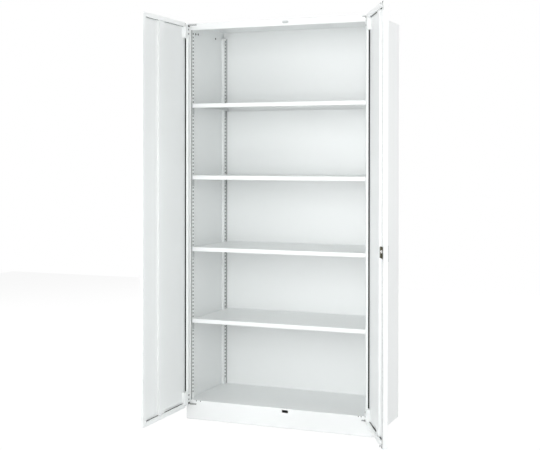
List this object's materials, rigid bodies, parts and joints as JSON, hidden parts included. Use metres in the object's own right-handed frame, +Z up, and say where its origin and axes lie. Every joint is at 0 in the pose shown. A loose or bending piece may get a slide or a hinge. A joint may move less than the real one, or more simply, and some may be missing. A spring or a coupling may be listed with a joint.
{
  "type": "double door cupboard",
  "caption": "Tall steel office cupboard with two hinged doors, adjustable shelves on slotted rails and a lock in the right door that drives latch rods up and down.",
  "frame": {"origin": "on the floor, under the middle of the front skirt's foot flange, 10 mm behind the body's front plane and midway between the sides", "axes": "+Z up, -Y out of the front, +X to the viewer's right when facing the front"},
  "size_m": [1.066, 0.8665, 1.79],
  "materials": {
    "body_paint": "satin white powder coat",
    "rail_paint": "satin white powder coat",
    "shelf_paint": "satin white powder coat",
    "door_paint": "satin white powder coat",
    "clip_zinc": "bright zinc plate",
    "hinge_steel": "dark passivated zinc",
    "rod_zinc": "bright zinc plate",
    "lock_metal": "bright nickel plate",
    "lock_case_metal": "yellow zinc plate",
    "handle_plastic": "fine matt black",
    "guide_plastic": "natural white"
  },
  "bodies": {
    "cupboard": {"left_side_panel": "body_paint", "right_side_panel": "body_paint", "top_panel": "body_paint", "bottom_panel": "body_paint", "back_panel": "body_paint", "shelf_rail_front_left": "rail_paint", "shelf_rail_front_right": "rail_paint", "shelf_rail_rear_left": "rail_paint", "shelf_rail_rear_right": "rail_paint", "shelf_1": "shelf_paint", "shelf_2": "shelf_paint", "shelf_3": "shelf_paint", "shelf_4": "shelf_paint", "shelf_clip_1_front_left": "clip_zinc", "shelf_clip_1_front_right": "clip_zinc", "shelf_clip_1_rear_left": "clip_zinc", "shelf_clip_1_rear_right": "clip_zinc", "shelf_clip_2_front_left": "clip_zinc", "shelf_clip_2_front_right": "clip_zinc", "shelf_clip_2_rear_left": "clip_zinc", "shelf_clip_2_rear_right": "clip_zinc", "shelf_clip_3_front_left": "clip_zinc", "shelf_clip_3_front_right": "clip_zinc", "shelf_clip_3_rear_left": "clip_zinc", "shelf_clip_3_rear_right": "clip_zinc", "shelf_clip_4_front_left": "clip_zinc", "shelf_clip_4_front_right": "clip_zinc", "shelf_clip_4_rear_left": "clip_zinc", "shelf_clip_4_rear_right": "clip_zinc", "hinge_arm_upper_left": "hinge_steel", "hinge_arm_upper_right": "hinge_steel", "hinge_arm_lower_left": "hinge_steel", "hinge_arm_lower_right": "hinge_steel", "hinge_pin_upper_left": "hinge_steel", "hinge_pin_upper_right": "hinge_steel", "hinge_pin_lower_left": "hinge_steel", "hinge_pin_lower_right": "hinge_steel"},
    "left_door": {"left_door_panel": "door_paint", "left_door_stiffener": "door_paint", "left_door_hinge_plate_upper": "door_paint", "left_door_hinge_plate_lower": "door_paint", "left_door_meeting_strip": "door_paint"},
    "right_door": {"right_door_panel": "door_paint", "right_door_stiffener": "door_paint", "right_door_hinge_plate_upper": "door_paint", "right_door_hinge_plate_lower": "door_paint", "pull_handle": "handle_plastic", "lock_housing": "lock_metal", "lock_case": "lock_case_metal", "rod_guide_upper": "guide_plastic", "rod_guide_lower": "guide_plastic"},
    "lock_cylinder": {"lock_plug": "lock_metal", "lock_cam": "rod_zinc"},
    "upper_rod": {"upper_latch_rod": "rod_zinc"},
    "lower_rod": {"lower_latch_rod": "rod_zinc"}
  },
  "joints": [
    {"name": "left_door_hinge", "type": "hinge", "parent": "cupboard", "child": "left_door", "pos_m": [-0.4355, -0.033, 0], "axis": [0, 0, -1], "range_deg": [-88.9, 31.1]},
    {"name": "right_door_hinge", "type": "hinge", "parent": "cupboard", "child": "right_door", "pos_m": [0.4355, -0.033, 0], "axis": [0, 0, 1], "range_deg": [-116.7, 3.3]},
    {"name": "lock_turn", "type": "hinge", "parent": "right_door", "child": "lock_cylinder", "pos_m": [0.6011, -0.39186, 0.8175], "axis": [0.8934, 0.4493, 0], "range_deg": [0, 90]},
    {"name": "upper_rod_slide", "type": "slide", "parent": "right_door", "child": "upper_rod", "axis": [0, 0, 1], "range_m": [0, 0.005]},
    {"name": "lower_rod_slide", "type": "slide", "parent": "right_door", "child": "lower_rod", "axis": [0, 0, -1], "range_m": [0, 0.005]}
  ],
  "couplings": [
    {"joint": "lock_turn", "follows": "upper_rod_slide", "rad_per_m": 314},
    {"joint": "lower_rod_slide", "follows": "upper_rod_slide", "ratio": 1}
  ]
}
